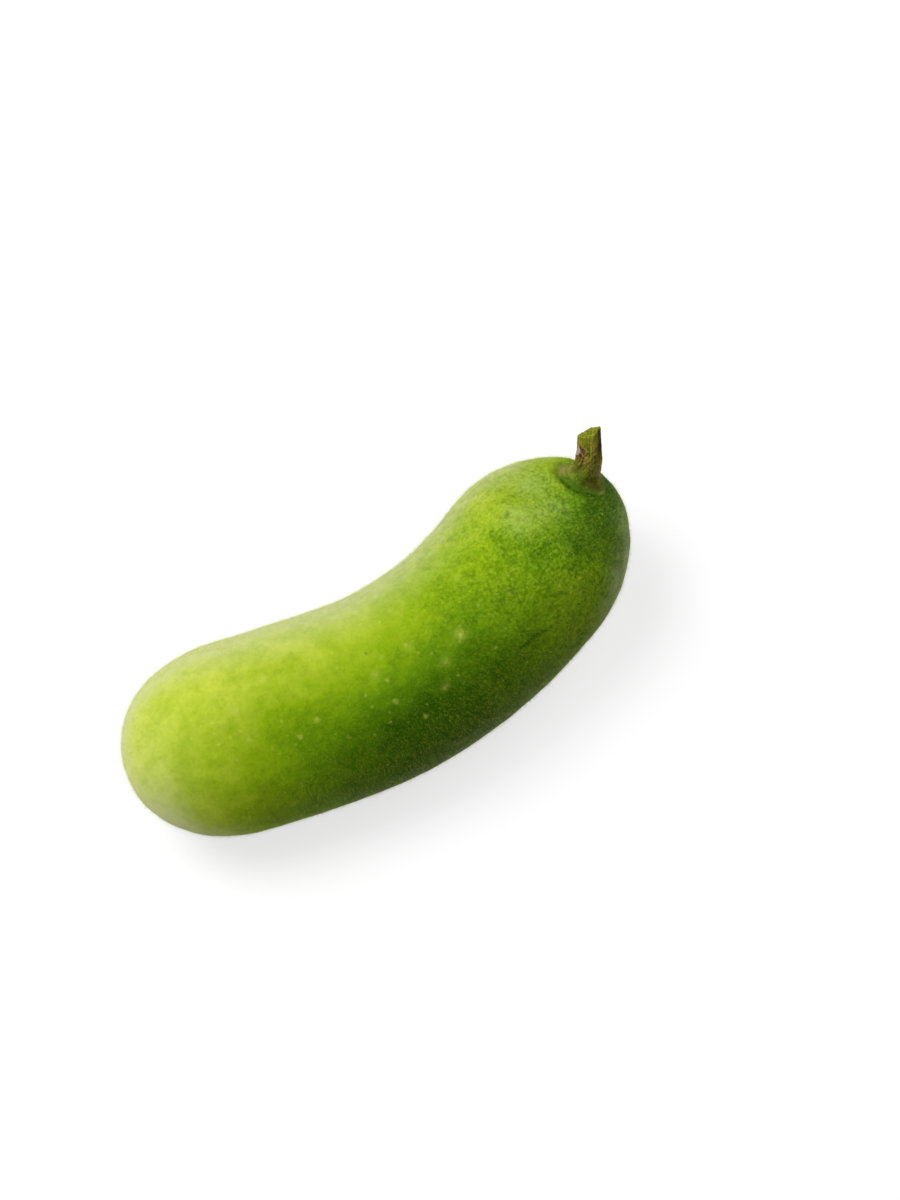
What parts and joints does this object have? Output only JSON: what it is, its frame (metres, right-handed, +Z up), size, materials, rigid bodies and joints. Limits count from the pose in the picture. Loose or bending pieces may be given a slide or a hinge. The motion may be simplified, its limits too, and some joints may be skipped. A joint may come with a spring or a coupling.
{
  "type": "fuzzy melon",
  "caption": "Whole curved fuzzy melon with its cut stalk, lying on its side: a downy green squash with rounded ends.",
  "frame": {"origin": "middle of the bounding box in X and Y, on the surface that the fruit lies on", "axes": "+X from the blossom end to the stalk end, +Z up; both ends curve towards +Y and the belly bows towards -Y"},
  "size_m": [0.2102, 0.0828, 0.0737],
  "materials": {
    "skin": "waxy green skin with fine pale down: yellow-green at the blossom end, deep green at the stalk",
    "stalk": "ribbed, drying olive-green and brown plant stem with a paler cut end"
  },
  "bodies": {
    "root": {"fruit": "skin", "stalk": "stalk"}
  },
  "joints": []
}
